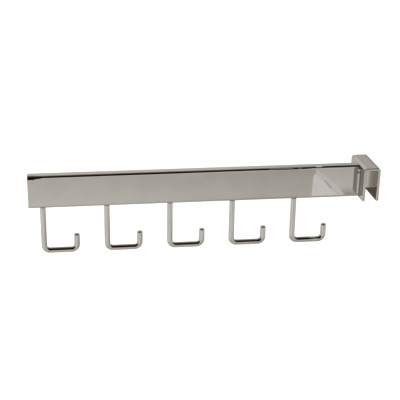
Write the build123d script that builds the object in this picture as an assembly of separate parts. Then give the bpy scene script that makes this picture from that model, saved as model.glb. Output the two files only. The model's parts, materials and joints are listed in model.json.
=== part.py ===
from build123d import *
import math
import os

# Five-hook faceout arm for a flat 12.7 mm hang rail, all in millimetres.
# The origin is the middle of the rail seat, on the underside of the saddle's top plate.
# The arm runs along -X, the rail runs along Y, and +Z is up.

# Saddle: a plate folded down over the rail
rail_thickness = 12.7
rail_clearance = 0.3
saddle_plate = 3.0
saddle_inside_bend = 0.4
saddle_length = 50.8
saddle_leg_drop = 36.4
saddle_corner = 1.8
saddle_edge_round = 0.9

# Arm: rectangular tube on edge, closed by a welded plate at its free end
arm_length = 376.2
tube_height = 38.1
tube_thickness = 12.7
tube_wall = 1.5
tube_corner = 2.8
tube_inside_corner = 1.8
arm_top_above_seat = 0.65
end_plate_thickness = 3.0
end_edge_round = 0.5

# Ground and polished stretch of the arm's upper front edge at its free end
dressed_corner = 5.0
dressed_length = 5.0
dressed_fade = 11.6
dressed_fade_power = 1.5
dressed_sections = 5

# Hooks: five round wires under the arm, each bent twice and rounded at its tip
wire_diameter = 6.35
hook_count = 5
hook_pitch = 71.8
first_hook_from_end = 15.7
hook_reach = 37.2
hook_bend_radius = 6.2
hook_drop = 53.95
hook_tip_height = 19.4
hook_tip_round = 1.8

# Weld beads
side_weld_on_arm = 2.2
side_weld_on_saddle = 2.5
side_weld_bulge = 0.35
side_weld_end_round = 0.9
side_weld_above_foot = 2.4
weld_start_share = 1.2
weld_start_below_corner = 0.1
weld_start_height = 3.3
weld_start_round = 1.1
weld_neck_length = 1.8
weld_neck_share = 0.55
hook_weld_width = 1.0
hook_weld_drop = 1.3

# How far two positions may differ and still count as the same
same_place = 0.001

# Places worked out from the sizes above
channel_half = (rail_thickness + rail_clearance) / 2
saddle_half = channel_half + saddle_plate
arm_root = -saddle_half
arm_tip = arm_root - arm_length
tube_end = arm_tip + end_plate_thickness
arm_middle = arm_top_above_seat - tube_height / 2
arm_bottom = arm_top_above_seat - tube_height
arm_front = -tube_thickness / 2
wire_radius = wire_diameter / 2
weld_start_top = arm_top_above_seat - tube_corner - weld_start_below_corner
weld_start_bottom = weld_start_top - weld_start_height


def arm_section(x, upper_front_corner):
    """The arm's outline at one station along its length."""
    outline = Rectangle(tube_thickness, tube_height)
    upper_front = outline.vertices().sort_by(Axis.Y)[-2:].sort_by(Axis.X)[0]
    others = [v for v in outline.vertices() if v != upper_front]
    outline = fillet(others, tube_corner)
    upper_front = outline.vertices().sort_by_distance((-tube_thickness / 2, tube_height / 2))[0]
    outline = fillet([upper_front], upper_front_corner)
    station = Plane(origin=(x, 0, arm_middle), x_dir=(0, 1, 0), z_dir=(1, 0, 0))
    return station * outline


def arm_outside():
    """The whole arm with its outer surface only: plain length, fading edge and dressed end."""
    fade_start = arm_tip + dressed_length + dressed_fade
    full_start = arm_tip + dressed_length
    plain = extrude(arm_section(fade_start, tube_corner), arm_root - fade_start)
    sections = []
    for i in range(dressed_sections):
        share = i / (dressed_sections - 1)
        faded = math.sin(share * math.pi / 2) ** dressed_fade_power
        corner = dressed_corner + (tube_corner - dressed_corner) * faded
        sections.append(arm_section(full_start + share * dressed_fade, corner))
    fading = loft(sections)
    dressed = extrude(arm_section(full_start, dressed_corner), -dressed_length)
    end_face = dressed.faces().sort_by(Axis.X)[0]
    dressed = fillet(end_face.edges(), end_edge_round)
    return plain + fading + dressed


def slab(x_from, x_to):
    """A block wider than the arm that spans one stretch of its length."""
    size = 2 * tube_height
    return Pos((x_from + x_to) / 2, 0, arm_middle) * Box(x_to - x_from, size, size)


def arm_tube(outside):
    """The tube from the saddle to the end plate, open inside."""
    hollow = Rectangle(tube_thickness - 2 * tube_wall, tube_height - 2 * tube_wall)
    hollow = fillet(hollow.vertices(), tube_inside_corner)
    station = Plane(origin=(tube_end, 0, arm_middle), x_dir=(0, 1, 0), z_dir=(1, 0, 0))
    bore = extrude(station * hollow, arm_root - tube_end)
    return (outside & slab(tube_end, arm_root)) - bore


def end_plate(outside):
    """The plate welded over the tube's free end and ground flush with it."""
    return outside & slab(arm_tip - tube_height, tube_end)


def saddle():
    """The plate folded into a channel: a flat top and two legs."""
    top = saddle_plate
    foot = -saddle_leg_drop
    outline = Polyline(
        (-saddle_half, foot), (-saddle_half, top), (saddle_half, top), (saddle_half, foot),
        (channel_half, foot), (channel_half, 0), (-channel_half, 0), (-channel_half, foot),
        close=True,
    )
    profile = make_face(outline)
    corners = profile.vertices()
    inside = [v for v in corners if abs(v.Y) < same_place]
    profile = fillet(inside, saddle_inside_bend)
    outside = profile.vertices().sort_by(Axis.Y)[-2:]
    profile = fillet(outside, saddle_inside_bend + saddle_plate)
    body = extrude(Plane.XZ * profile, saddle_length / 2, both=True)
    feet = body.edges().filter_by(Axis.X).group_by(Axis.Z)[0]
    body = fillet(feet, saddle_corner)
    return fillet(saddle_rim(body), saddle_edge_round)


def saddle_rim(body):
    """The edges of the plate's two faces, all round the cut edge of the sheet."""
    rim = []
    for edge in body.edges():
        box = edge.bounding_box()
        on_end = box.size.Y < same_place
        on_foot = box.max.Z < saddle_corner - saddle_leg_drop + same_place
        across_the_sheet = max(abs(edge.length - saddle_plate), abs(box.size.X - saddle_plate)) < same_place
        if (on_end or on_foot) and not across_the_sheet:
            rim.append(edge)
    return rim


def hook(x):
    """One bent wire: leg, run towards the saddle and short upturned tip."""
    run = arm_bottom - hook_drop
    path = FilletPolyline(
        (x, 0, arm_bottom), (x, 0, run), (x + hook_reach, 0, run), (x + hook_reach, 0, run + hook_tip_height),
        radius=hook_bend_radius,
    )
    start = Plane(origin=(x, 0, arm_bottom), z_dir=(0, 0, -1))
    wire = sweep(start * Circle(wire_radius), path=path)
    tip = wire.faces().filter_by(GeomType.PLANE).sort_by(Axis.X)[-1]
    return fillet(tip.edges(), hook_tip_round)


def hook_weld(x, outside):
    """The ring of weld round a hook's leg, under the arm."""
    outer = wire_radius + hook_weld_width
    above = arm_bottom + tube_corner
    ring = make_face(Polyline(
        (wire_radius, above), (outer, above), (outer, arm_bottom), (wire_radius, arm_bottom - hook_weld_drop),
        close=True,
    ))
    bead = revolve(Plane.XZ * ring, Axis.Z)
    return Pos(x, 0, 0) * bead - outside


def weld_section(share):
    """The upright bead's section in the corner between the arm and the saddle, at a share of full size."""
    corner = (arm_root, arm_front)
    toe_on_arm = (arm_root - share * side_weld_on_arm, arm_front)
    toe_on_saddle = (arm_root, arm_front - share * side_weld_on_saddle)
    crown = (
        arm_root - share * (side_weld_on_arm / 2 + side_weld_bulge),
        arm_front - share * (side_weld_on_saddle / 2 + side_weld_bulge),
    )
    return make_face([
        Line(corner, toe_on_arm),
        ThreePointArc(toe_on_arm, crown, toe_on_saddle),
        Line(toe_on_saddle, corner),
    ])


def weld_run(share, low, high, end_round):
    """A stretch of upright bead between two heights, rounded at both ends."""
    run = extrude(Pos(0, 0, low) * weld_section(share), high - low)
    return fillet(run.edges().filter_by(GeomType.CIRCLE), end_round)


def side_weld():
    """The upright bead beside the arm's front face, its thick start and the neck between them."""
    bead_top = weld_start_bottom - weld_neck_length
    bead_bottom = side_weld_above_foot - saddle_leg_drop
    bead = weld_run(1, bead_bottom, bead_top, side_weld_end_round)
    start = weld_run(weld_start_share, weld_start_bottom, weld_start_top, weld_start_round)
    neck_foot = bead_top - 2 * side_weld_end_round
    neck_top = weld_start_top - weld_start_round
    neck = extrude(Pos(0, 0, neck_foot) * weld_section(weld_neck_share), neck_top - neck_foot)
    return bead + neck + start


def main():
    os.makedirs("parts", exist_ok=True)
    outside = arm_outside()
    plate = saddle()
    front_weld = side_weld()
    pieces = {
        "arm_tube": arm_tube(outside),
        "end_plate": end_plate(outside),
        "saddle": plate,
        "saddle_weld_front": front_weld,
        "saddle_weld_back": mirror(front_weld, Plane.XZ),
    }
    for i in range(hook_count):
        x = arm_tip + first_hook_from_end + i * hook_pitch
        pieces[f"hook_{i + 1}"] = hook(x)
        pieces[f"hook_weld_{i + 1}"] = hook_weld(x, outside)
    for node, piece in pieces.items():
        export_step(piece, f"parts/{node}.step")


main()
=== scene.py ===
import json
import math

import bpy
from mathutils import Matrix, Vector


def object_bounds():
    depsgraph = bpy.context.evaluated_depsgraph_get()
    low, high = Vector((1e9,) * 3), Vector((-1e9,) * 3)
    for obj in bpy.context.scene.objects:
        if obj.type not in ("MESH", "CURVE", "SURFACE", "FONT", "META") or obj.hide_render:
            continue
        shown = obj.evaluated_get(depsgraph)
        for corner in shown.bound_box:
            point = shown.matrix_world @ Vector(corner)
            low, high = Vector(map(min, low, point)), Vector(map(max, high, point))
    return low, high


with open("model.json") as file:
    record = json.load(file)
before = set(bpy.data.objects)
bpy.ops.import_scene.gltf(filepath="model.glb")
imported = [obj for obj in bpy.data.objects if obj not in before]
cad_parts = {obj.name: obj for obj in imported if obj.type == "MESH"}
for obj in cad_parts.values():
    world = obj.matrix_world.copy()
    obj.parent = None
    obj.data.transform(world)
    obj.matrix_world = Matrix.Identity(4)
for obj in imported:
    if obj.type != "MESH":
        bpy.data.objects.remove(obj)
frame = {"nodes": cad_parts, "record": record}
cad_low, cad_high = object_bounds()

# Camera: pixels of the 400 x 400 picture, millimetres and degrees
picture_side_px = 400
focal_px = 950.381
optical_centre_px = (167.454, 186.418)
camera_mm = (-344.835, -996.881, 361.827)
camera_yaw = 6.606
camera_pitch = 20.777
camera_roll = 0.288
sensor_mm = 36.0
clip_near = 0.01
clip_far = 100.0

# Chrome: linear tones, bumps in metres, and noise scales per metre
chrome_tone = (0.50, 0.483, 0.458)
chrome_edge = (0.63, 0.59, 0.57)
chrome_roughness = 0.02
chrome_waviness = 0.00002
chrome_grain = 0.0000002
weld_tone = (0.43, 0.415, 0.38)
weld_roughness = 0.16
weld_waviness = 0.0002
weld_grain = 0.00001
cloud_scale = 55.0
cloud_detail = 4.0
# The stretch of the cloud noise that is used, and the shares of tone and roughness at its two ends
cloud_range = (0.3, 0.7)
cloud_tones = (0.96, 1.03)
cloud_roughness = (0.7, 1.3)
line_scale = 1800.0
line_detail = 2.0
line_stretch = (0.08, 1.0, 1.0)
wave_scale = 22.0
wave_detail = 1.0

# Studio, in metres and degrees. The rail runs along Y, and the front is towards -Y.
# A turn is a pair: where a change starts and where it is full.
floor_below_hooks = 0.35
floor_half_size = 12.0
floor_glow = 0.26
floor_glow_far = 0.12
floor_glow_turn = (0.5, 2.2)

# A sheet of paper on the floor in front, with its border, its edge and a crease. Each corner is the place
# in the photograph where the arm's front face mirrors it, in pixels from the top left.
card_lift = 0.001
place_decimals = 4
paper_tone = (1.05, 1.05, 1.055)
border_tone = (0.915, 0.895, 0.872)
edge_tone = (0.975, 0.968, 0.95)
crease_tone = (0.56, 0.535, 0.50)
paper_seam_px = [(317.0, 175.5), (322.7, 180.8), (336.5, 194.9), (342.3, 200.5)]
border_seam_px = [
    (319.1, 173.3), (324.3, 176.3), (328.8, 180.5), (337.9, 188.5), (343.6, 195.0), (349.5, 200.5),
]
paper_px = [
    (315.3, 173.9), (314.0, 175.5), (313.1, 177.5), (312.7, 180.5), (312.4, 184.5), (311.7, 190.5),
    (311.5, 197.0), (311.4, 200.5), *reversed(paper_seam_px),
]
border_px = [(315.7, 172.5), *paper_seam_px, *reversed(border_seam_px)]
edge_px = [
    (316.7, 169.5), *border_seam_px, (347.8, 200.5), (342.1, 195.1), (336.5, 188.9), (327.3, 180.7),
    (322.8, 176.4), (317.5, 173.3), (315.5, 169.5),
]
crease_px = [(324.1, 182.0), (325.4, 181.8), (332.1, 190.1), (330.7, 190.4)]

# The floor that the metal mirrors, with painted shadows on it. A patch is two turns, along the rail and to
# the right, with no far side.
floor_bright = (1.02, 1.02, 0.985)
# Tone of the painted shadows on the floor
floor_painted_shadow = (0.45, 0.41, 0.365)
front_turn = (-0.80, -1.40)
front_share = 0.533
front_right_patch = ((-0.40, -0.90), (-0.45, 0.45))
right_patch = ((-0.05, -0.40), (0.30, 0.80))
right_share = 0.328
beside_paper_patch = ((-1.10, -0.98), (0.285, 0.310))
outer_patch = ((-1.20, -1.06), (0.370, 0.420))
outer_share = 0.25
beside_paper_turn = (-0.96, -1.02)
back_right_patch = ((-1.07, -0.97), (-0.35, 0.10))
back_right_share = 0.24
near_turn = (0.90, 0.58)
near_right_turn = (-0.17, 0.05)
near_right_share = 0.45
near_share = 0.50
distant_turn = (-2.4, -1.45)
# A painted edge of light on the floor, lighter to its right
light_edge_px = paper_px[0]
light_edge_normal = (0.953, 0.303)
light_edge_turn = (-0.001, 0.001)
light_edge_share = 0.289

# A dark stand behind the saddle and a grey card above it. The card's tone goes by share of its width.
stand_low = (-0.026, 0.035, -0.300)
stand_high = (0.030, 0.061, -0.0527)
stand_tone = (0.19, 0.15, 0.12)
grey_card_low = (-0.0215, 0.060, -0.060)
grey_card_high = (-0.0115, 0.060, 0.020)
grey_card_shades = [
    (0.0, 0.55), (0.12, 0.44), (0.28, 0.42), (0.55, 0.52), (0.70, 0.58), (0.80, 0.70), (0.93, 0.94),
]

# Brightness that the metal sees from the front horizon over the top to the back horizon
studio_arc = [
    (0.0, 1.00), (0.5, 0.012), (30.0, 0.016), (60.0, 0.016), (78.0, 0.03), (90.0, 0.16),
    (108.0, 0.24), (122.0, 0.42), (134.0, 0.74), (146.0, 1.04), (158.0, 1.04), (180.0, 1.12),
]
half_turn = 180.0
warm_dark = (1.0, 0.55, 0.28)
warm_pale = (1.0, 0.985, 0.955)
warm_power = 0.35
# Share of that brightness from the left of the studio, -1, to its right, 1
studio_sides = [
    (-1.0, 0.82), (-0.34, 0.82), (-0.24, 1.0), (0.18, 1.0), (0.24, 0.90), (0.30, 0.80), (1.0, 0.80),
]
# Pale walls at both sides, and the top of a pale panel in front, in degrees, from left to right
pale_tone = (0.90, 0.885, 0.855)
pale_strength = 0.75
left_wall_turn = (-0.92, -0.80)
right_wall_turn = (0.92, 0.80)
panel_top = [
    (-1.0, 0.0), (0.11, 0.0), (0.154, 7.0), (0.200, 12.0), (0.222, 3.0), (0.249, 1.0), (0.254, 30.0),
    (0.309, 30.0), (0.313, 8.0), (0.330, 8.0), (0.336, 30.0), (1.0, 30.0),
]
panel_edge_radians = (-0.02, 0.02)
# A narrow dark strip low at the back, which the saddle's right bend mirrors: its two sides and its top
strip_left_turn = (0.332, 0.350)
strip_right_turn = (0.490, 0.460)
strip_top_turn = (150.0, 158.0)
strip_darkness = 0.86

# Curved cards overhead: name, sides, angles along the arc and tone
overhead_cards = [
    ("dark_overhead", (0.2690, 0.62), (58.0, 127.0), (0.014, 0.009, 0.006)),
    ("small_lamp", (0.2615, 0.2675), (84.0, 128.0), (1.30, 1.28, 1.22)),
    ("grey_overhead", (0.2130, 0.2385), (42.0, 92.0), (0.30, 0.28, 0.25)),
    ("grey_pole", (0.2430, 0.2470), (34.0, 92.0), (0.30, 0.28, 0.25)),
]
overhead_distance = 2.2
overhead_steps = 12
# The side of the studio that the arm mirrors at the seat, and how it changes along the arm
side_at_seat = 0.3194
side_per_metre = 0.926

# Softboxes: name, place and watts
softboxes = [
    ("left_softbox", (-1.9, -0.5, 1.3), 18.0),
    ("right_softbox", (1.7, -0.6, 1.2), 14.0),
]
softbox_side = 0.9

white = (1.0, 1.0, 1.0)

# Places of the colour sockets on Blender's mix node
mix_first = 6
mix_second = 7
mix_result = 2


def new_material(name):
    """An empty node material, with its node tree and its output."""
    material = bpy.data.materials.new(name)
    material.use_nodes = True
    tree = material.node_tree
    tree.nodes.clear()
    return material, tree, node(tree, "ShaderNodeOutputMaterial")


def node(tree, kind, **settings):
    """A node with its settings."""
    made = tree.nodes.new(kind)
    for key, value in settings.items():
        setattr(made, key, value)
    return made


def feed(tree, socket, value):
    """Links a socket to another node's output, or sets it to a plain value."""
    if isinstance(value, bpy.types.NodeSocket):
        tree.links.new(value, socket)
    else:
        socket.default_value = value


def plain_colour(tone):
    """A tone as an opaque colour."""
    return (tone[0], tone[1], tone[2], 1.0)


def scaled(tone, share):
    """A tone times a share."""
    return [part * share for part in tone]


def math_node(tree, operation, first, second=None, clamp=False):
    """The result of a math node fed by sockets or numbers."""
    made = node(tree, "ShaderNodeMath", operation=operation, use_clamp=clamp)
    feed(tree, made.inputs[0], first)
    if second is not None:
        feed(tree, made.inputs[1], second)
    return made.outputs["Value"]


def plus(tree, first, second):
    """The sum of two sockets or numbers."""
    return math_node(tree, "ADD", first, second)


def minus(tree, first, second):
    """The difference of two sockets or numbers."""
    return math_node(tree, "SUBTRACT", first, second)


def times(tree, first, second):
    """The product of two sockets or numbers."""
    return math_node(tree, "MULTIPLY", first, second)


def smooth_step(tree, value, turn):
    """0 where a turn starts, 1 where it is full and smooth between them."""
    made = node(tree, "ShaderNodeMapRange", interpolation_type="SMOOTHSTEP")
    feed(tree, made.inputs["Value"], value)
    made.inputs["From Min"].default_value = turn[0]
    made.inputs["From Max"].default_value = turn[1]
    return made.outputs["Result"]


def axes_of(tree, vector):
    """The three parts of a vector."""
    made = node(tree, "ShaderNodeSeparateXYZ")
    feed(tree, made.inputs["Vector"], vector)
    return made.outputs["X"], made.outputs["Y"], made.outputs["Z"]


def object_place(tree):
    """The place on a piece, in metres."""
    return node(tree, "ShaderNodeTexCoord").outputs["Object"]


def noise(tree, place, scale, detail):
    """Cloudy noise."""
    made = node(tree, "ShaderNodeTexNoise")
    made.inputs["Scale"].default_value = scale
    made.inputs["Detail"].default_value = detail
    feed(tree, made.inputs["Vector"], place)
    return made.outputs["Fac"]


def bump(tree, height, distance):
    """A bump of full strength."""
    made = node(tree, "ShaderNodeBump")
    made.inputs["Strength"].default_value = 1.0
    made.inputs["Distance"].default_value = distance
    feed(tree, made.inputs["Height"], height)
    return made


def colour_ramp(tree, value, stops):
    """A colour that goes by a value from 0 to 1, through stops of a place and a tone."""
    made = node(tree, "ShaderNodeValToRGB")
    feed(tree, made.inputs["Fac"], value)
    elements = made.color_ramp.elements
    while len(elements) < len(stops):
        elements.new(1.0)
    for element, (position, tone) in zip(elements, stops):
        element.position = position
        element.color = plain_colour(tone)
    return made.outputs["Color"]


def side_curve(tree, side, points):
    """A number that goes by the side of the studio, from -1 to 1, in straight stretches."""
    made = node(tree, "ShaderNodeFloatCurve")
    curve = made.mapping.curves[0]
    ready = len(curve.points)
    for place, (across, height) in enumerate(points):
        point = curve.points[place] if place < ready else curve.points.new(0.5, 0.5)
        point.location = ((across + 1) / 2, height)
        point.handle_type = "VECTOR"
    made.mapping.update()
    feed(tree, made.inputs["Value"], math_node(tree, "DIVIDE", plus(tree, side, 1.0), 2.0))
    return made.outputs["Value"]


def mixed_colour(tree, share, first, second):
    """The first colour where the share is 0 and the second where it is 1."""
    mix = node(tree, "ShaderNodeMix", data_type="RGBA")
    feed(tree, mix.inputs["Factor"], share)
    feed(tree, mix.inputs[mix_first], first)
    feed(tree, mix.inputs[mix_second], second)
    return mix.outputs[mix_result]


def mixed_shader(tree, share, first, second):
    """The first shader where the share is 0 and the second where it is 1."""
    mix = node(tree, "ShaderNodeMixShader")
    feed(tree, mix.inputs["Fac"], share)
    feed(tree, mix.inputs[1], first)
    feed(tree, mix.inputs[2], second)
    return mix.outputs["Shader"]


def glow(tree, colour, strength=1.0):
    """A glowing shader."""
    made = node(tree, "ShaderNodeEmission")
    feed(tree, made.inputs["Color"], colour)
    feed(tree, made.inputs["Strength"], strength)
    return made.outputs["Emission"]


def sky(tree, colour, strength=1.0):
    """A shader for the world."""
    made = node(tree, "ShaderNodeBackground")
    feed(tree, made.inputs["Color"], colour)
    feed(tree, made.inputs["Strength"], strength)
    return made.outputs["Background"]


def chrome(name, tone, roughness, waviness, grain):
    """Chrome plate: a warm grey mirror with faint waves, a cloudy polish and fine lines along the arm."""
    material, tree, output = new_material(name)
    metal = node(tree, "ShaderNodeBsdfPrincipled")
    feed(tree, output.inputs["Surface"], metal.outputs["BSDF"])
    metal.inputs["Metallic"].default_value = 1.0
    metal.inputs["Specular Tint"].default_value = plain_colour(chrome_edge)
    place = object_place(tree)

    clouds = noise(tree, place, cloud_scale, cloud_detail)
    stops = [(position, scaled(tone, share)) for position, share in zip(cloud_range, cloud_tones)]
    feed(tree, metal.inputs["Base Color"], colour_ramp(tree, clouds, stops))

    polish = node(tree, "ShaderNodeMapRange")
    feed(tree, polish.inputs["Value"], clouds)
    polish.inputs["From Min"].default_value = cloud_range[0]
    polish.inputs["From Max"].default_value = cloud_range[1]
    polish.inputs["To Min"].default_value = roughness * cloud_roughness[0]
    polish.inputs["To Max"].default_value = roughness * cloud_roughness[1]
    feed(tree, metal.inputs["Roughness"], polish.outputs["Result"])

    stretch = node(tree, "ShaderNodeMapping")
    stretch.inputs["Scale"].default_value = line_stretch
    feed(tree, stretch.inputs["Vector"], place)
    lines = noise(tree, stretch.outputs["Vector"], line_scale, line_detail)
    waves = noise(tree, place, wave_scale, wave_detail)
    wavy = bump(tree, waves, waviness)
    lined = bump(tree, lines, grain)
    feed(tree, lined.inputs["Normal"], wavy.outputs["Normal"])
    feed(tree, metal.inputs["Normal"], lined.outputs["Normal"])
    return material


def paint_nodes():
    """Gives every CAD node its finish by the record's slots."""
    plate = chrome("chrome_plate", chrome_tone, chrome_roughness, chrome_waviness, chrome_grain)
    weld = chrome("plated_weld", weld_tone, weld_roughness, weld_waviness, weld_grain)
    finishes = {"chrome_plate": plate, "plated_weld": weld}
    slots = {part["node"]: part["material_slot"] for part in frame["record"]["subparts"]}
    for name, piece in frame["nodes"].items():
        piece.data.materials.clear()
        piece.data.materials.append(finishes[slots[name]])


def floor_level():
    """Height of the floor."""
    return cad_low.z - floor_below_hooks


def camera_axes():
    """The photograph's directions to the right, up and forward."""
    yaw = math.radians(camera_yaw)
    pitch = math.radians(camera_pitch)
    roll = math.radians(camera_roll)
    forward = Vector((math.sin(yaw) * math.cos(pitch), math.cos(yaw) * math.cos(pitch), -math.sin(pitch)))
    level_right = Vector((math.cos(yaw), -math.sin(yaw), 0.0))
    level_up = level_right.cross(forward)
    right = level_right * math.cos(roll) + level_up * math.sin(roll)
    up = level_up * math.cos(roll) - level_right * math.sin(roll)
    return right, up, forward


def arm_front():
    """Where the arm's front face is along the rail."""
    arm = frame["nodes"]["arm_tube"]
    return min((arm.matrix_world @ Vector(corner)).y for corner in arm.bound_box)


def mirrored_floor(place_px):
    """The place on the floor, to 0.1 mm, that the arm's front face mirrors at a place in the photograph."""
    right, up, forward = camera_axes()
    across = (place_px[0] - optical_centre_px[0]) / focal_px
    down = (place_px[1] - optical_centre_px[1]) / focal_px
    ray = forward + right * across - up * down
    eye = Vector(camera_mm) / 1000
    on_face = eye + ray * ((arm_front() - eye.y) / ray.y)
    mirrored = Vector((ray.x, -ray.y, ray.z))
    place = on_face + mirrored * ((floor_level() - on_face.z) / mirrored.z)
    return round(place.x, place_decimals), round(place.y, place_decimals)


def floor_place(tree):
    """A place on the floor: to the right, along the rail and how far from the point below the seat."""
    x, y, _ = axes_of(tree, object_place(tree))
    squares = plus(tree, times(tree, x, x), times(tree, y, y))
    return x, y, math_node(tree, "SQRT", squares)


def on_patch(tree, x, y, patch):
    """1 on a patch of the floor, 0 off it and smooth between them."""
    along_rail, to_right = patch
    return times(tree, smooth_step(tree, y, along_rail), smooth_step(tree, x, to_right))


def painted_shadow_beside_paper(tree, x, y):
    """How much painted shadow darkens the floor to the right of the paper."""
    outer = times(tree, on_patch(tree, x, y, outer_patch), outer_share)
    dim = plus(tree, on_patch(tree, x, y, beside_paper_patch), outer)
    return times(tree, dim, smooth_step(tree, y, beside_paper_turn))


def painted_shadow_near(tree, x, away):
    """How much painted shadow darkens the floor near the object."""
    to_right = times(tree, smooth_step(tree, x, near_right_turn), near_right_share)
    return times(tree, smooth_step(tree, away, near_turn), plus(tree, to_right, near_share))


def past_light_edge(tree, x, y):
    """1 to the right of a straight edge of painted light on the floor and 0 to its left."""
    start = mirrored_floor(light_edge_px)
    across = times(tree, minus(tree, x, start[0]), light_edge_normal[0])
    along = times(tree, minus(tree, y, start[1]), light_edge_normal[1])
    return smooth_step(tree, plus(tree, across, along), light_edge_turn)


def floor_shown_to_metal(tree):
    """Colour of the floor in the metal: bright, with painted shadows, dimmer and warmer, in front, to the
    right and near the object, and a painted edge of light.
    """
    x, y, away = floor_place(tree)
    # Painted shadows on the floor: in front, to the right, beside the paper, back right and near the object
    dim = times(tree, smooth_step(tree, y, front_turn), front_share)
    front_right = on_patch(tree, x, y, front_right_patch)
    front_right = math_node(tree, "MAXIMUM", front_right, on_patch(tree, x, y, right_patch))
    dim = plus(tree, dim, times(tree, front_right, right_share))
    dim = plus(tree, dim, painted_shadow_beside_paper(tree, x, y))
    dim = plus(tree, dim, times(tree, on_patch(tree, x, y, back_right_patch), back_right_share))
    dim = math_node(tree, "MAXIMUM", dim, painted_shadow_near(tree, x, away))
    dim = times(tree, dim, smooth_step(tree, y, distant_turn))
    # Painted light to the right of an edge takes some of the painted shadow away
    lit = times(tree, past_light_edge(tree, x, y), light_edge_share)
    dim = math_node(tree, "SUBTRACT", dim, lit, clamp=True)
    return mixed_colour(tree, dim, plain_colour(floor_bright), plain_colour(floor_painted_shadow))


def floor_material():
    """White to the camera, with the object's shadow on it, and a floor with painted shadows and painted
    light to the metal.
    """
    material, tree, output = new_material("pale_floor")
    matt = node(tree, "ShaderNodeBsdfDiffuse")
    matt.inputs["Color"].default_value = plain_colour(white)
    _, _, away = floor_place(tree)
    far_glow = times(tree, smooth_step(tree, away, floor_glow_turn), floor_glow_far)
    pale = node(tree, "ShaderNodeAddShader")
    feed(tree, pale.inputs[0], matt.outputs["BSDF"])
    feed(tree, pale.inputs[1], glow(tree, plain_colour(white), plus(tree, far_glow, floor_glow)))
    mirrored = glow(tree, floor_shown_to_metal(tree))
    to_metal = node(tree, "ShaderNodeLightPath").outputs["Is Glossy Ray"]
    feed(tree, output.inputs["Surface"], mixed_shader(tree, to_metal, pale.outputs["Shader"], mirrored))
    return material


def stage_mesh(name, points, faces, material):
    """A piece of the studio."""
    mesh = bpy.data.meshes.new(name)
    mesh.from_pydata(points, [], faces)
    mesh.materials.append(material)
    piece = bpy.data.objects.new(name, mesh)
    bpy.context.scene.collection.objects.link(piece)
    return piece


def only_in_metal(piece):
    """The piece shows in reflections and nowhere else."""
    piece.visible_camera = False
    piece.visible_diffuse = False
    piece.visible_shadow = False


def glowing(name, tone):
    """A material that glows evenly in one tone."""
    material, tree, output = new_material(name)
    feed(tree, output.inputs["Surface"], glow(tree, plain_colour(tone)))
    return material


def make_floor():
    """The floor of the studio, below the hooks."""
    size = floor_half_size
    level = floor_level()
    corners = [(-size, -size, level), (size, -size, level), (size, size, level), (-size, size, level)]
    stage_mesh("floor", corners, [(0, 1, 2, 3)], floor_material())


def make_paper():
    """A sheet on the floor in front, which the arm's face mirrors near the saddle."""
    sheets = [
        ("paper", paper_px, paper_tone),
        ("paper_border", border_px, border_tone),
        ("paper_edge", edge_px, edge_tone),
        ("paper_crease", crease_px, crease_tone),
    ]
    for level, (name, corners, tone) in enumerate(sheets, 1):
        height = floor_level() + level * card_lift
        points = [(*mirrored_floor(corner), height) for corner in corners]
        only_in_metal(stage_mesh(name, points, [tuple(range(len(points)))], glowing(name, tone)))


def make_stand():
    """A dark block behind the saddle, which only the metal mirrors."""
    xs, ys, zs = zip(stand_low, stand_high)
    points = [(x, y, z) for x in xs for y in ys for z in zs]
    faces = [(0, 1, 3, 2), (4, 6, 7, 5), (0, 4, 5, 1), (2, 3, 7, 6), (0, 2, 6, 4), (1, 5, 7, 3)]
    only_in_metal(stage_mesh("stand", points, faces, glowing("stand", stand_tone)))


def make_grey_card():
    """An upright grey card behind the saddle, lighter towards the right."""
    material, tree, output = new_material("grey_card")
    x, _, _ = axes_of(tree, object_place(tree))
    share = node(tree, "ShaderNodeMapRange")
    feed(tree, share.inputs["Value"], x)
    share.inputs["From Min"].default_value = grey_card_low[0]
    share.inputs["From Max"].default_value = grey_card_high[0]
    stops = [(position, scaled(warm_pale, shade)) for position, shade in grey_card_shades]
    shades = colour_ramp(tree, share.outputs["Result"], stops)
    feed(tree, output.inputs["Surface"], glow(tree, shades))
    (left, back, bottom), (right, _, top) = grey_card_low, grey_card_high
    points = [(left, back, bottom), (right, back, bottom), (right, back, top), (left, back, top)]
    only_in_metal(stage_mesh("grey_card", points, [(0, 1, 2, 3)], material))


def overhead_card(name, sides, angles, tone):
    """A curved card high above the object, between two sides and two angles of the studio."""
    points = []
    for step in range(overhead_steps + 1):
        angle = math.radians(angles[0] + (angles[1] - angles[0]) * step / overhead_steps)
        for side in sides:
            reach = math.sqrt(1 - side * side)
            across = (side - side_at_seat) / side_per_metre
            place = Vector((side, -reach * math.cos(angle), reach * math.sin(angle))) * overhead_distance
            points.append((across + place.x, place.y, place.z))
    faces = [(2 * i, 2 * i + 1, 2 * i + 3, 2 * i + 2) for i in range(overhead_steps)]
    only_in_metal(stage_mesh(name, points, faces, glowing(name, tone)))


def studio_tone(value):
    """A brightness of the studio as a colour, warmer where it is darker."""
    share = value ** warm_power
    return [value * (dark + (pale - dark) * share) for dark, pale in zip(warm_dark, warm_pale)]


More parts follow.
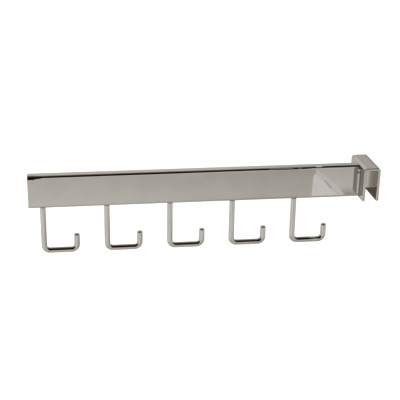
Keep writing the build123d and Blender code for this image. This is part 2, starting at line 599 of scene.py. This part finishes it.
def studio_to_metal(tree):
    """The world in the metal: a dark front above a pale panel, a bright back and pale side walls."""
    x, y, z = axes_of(tree, node(tree, "ShaderNodeTexCoord").outputs["Generated"])
    angle = math_node(tree, "ARCTAN2", z, times(tree, y, -1.0))
    stops = [(degrees / half_turn, studio_tone(value)) for degrees, value in studio_arc]
    arc = colour_ramp(tree, math_node(tree, "DIVIDE", angle, math.pi), stops)

    right = smooth_step(tree, x, right_wall_turn)
    left = smooth_step(tree, x, left_wall_turn)
    top = side_curve(tree, x, [(side, math.radians(degrees)) for side, degrees in panel_top])
    above_panel = smooth_step(tree, minus(tree, angle, top), panel_edge_radians)
    in_arc = times(tree, times(tree, right, left), above_panel)
    colour = mixed_colour(tree, in_arc, plain_colour(pale_tone), arc)

    strip = times(tree, smooth_step(tree, x, strip_left_turn), smooth_step(tree, x, strip_right_turn))
    low_back = smooth_step(tree, angle, [math.radians(degrees) for degrees in strip_top_turn])
    strip = times(tree, times(tree, strip, low_back), strip_darkness)
    share = times(tree, side_curve(tree, x, studio_sides), minus(tree, 1.0, strip))
    return sky(tree, colour, share)


def make_world():
    """White to the camera, an even pale light for matt surfaces, and the studio for the metal."""
    world = bpy.data.worlds.new("studio")
    bpy.context.scene.world = world
    world.use_nodes = True
    tree = world.node_tree
    tree.nodes.clear()
    output = node(tree, "ShaderNodeOutputWorld")
    rays = node(tree, "ShaderNodeLightPath")
    for_matt = sky(tree, plain_colour(pale_tone), pale_strength)
    for_camera = sky(tree, plain_colour(white))
    lit = mixed_shader(tree, rays.outputs["Is Glossy Ray"], for_matt, studio_to_metal(tree))
    seen = mixed_shader(tree, rays.outputs["Is Camera Ray"], lit, for_camera)
    feed(tree, output.inputs["Surface"], seen)


def make_softbox(name, place, watts):
    """A square softbox that points at the middle of the object."""
    middle = (cad_low + cad_high) / 2
    lamp = bpy.data.lights.new(name, "AREA")
    lamp.shape = "RECTANGLE"
    lamp.size = softbox_side
    lamp.size_y = softbox_side
    lamp.energy = watts
    lamp_object = bpy.data.objects.new(name, lamp)
    lamp_object.location = place
    lamp_object.rotation_euler = (middle - Vector(place)).to_track_quat("-Z", "Y").to_euler()
    lamp_object.visible_glossy = False
    bpy.context.scene.collection.objects.link(lamp_object)


def make_camera():
    """The photograph's camera."""
    right, up, forward = camera_axes()
    data = bpy.data.cameras.new("camera")
    data.sensor_width = sensor_mm
    data.lens = focal_px * sensor_mm / picture_side_px
    data.shift_x = (picture_side_px / 2 - optical_centre_px[0]) / picture_side_px
    data.shift_y = (optical_centre_px[1] - picture_side_px / 2) / picture_side_px
    data.clip_start = clip_near
    data.clip_end = clip_far
    camera = bpy.data.objects.new("camera", data)
    turn = Matrix((right, up, -forward)).transposed().to_4x4()
    camera.matrix_world = Matrix.Translation(Vector(camera_mm) / 1000) @ turn
    bpy.context.scene.collection.objects.link(camera)
    bpy.context.scene.camera = camera


bpy.context.scene.view_settings.view_transform = "Standard"
paint_nodes()
make_floor()
make_paper()
make_stand()
make_grey_card()
for card in overhead_cards:
    overhead_card(*card)
make_world()
for softbox in softboxes:
    make_softbox(*softbox)
make_camera()
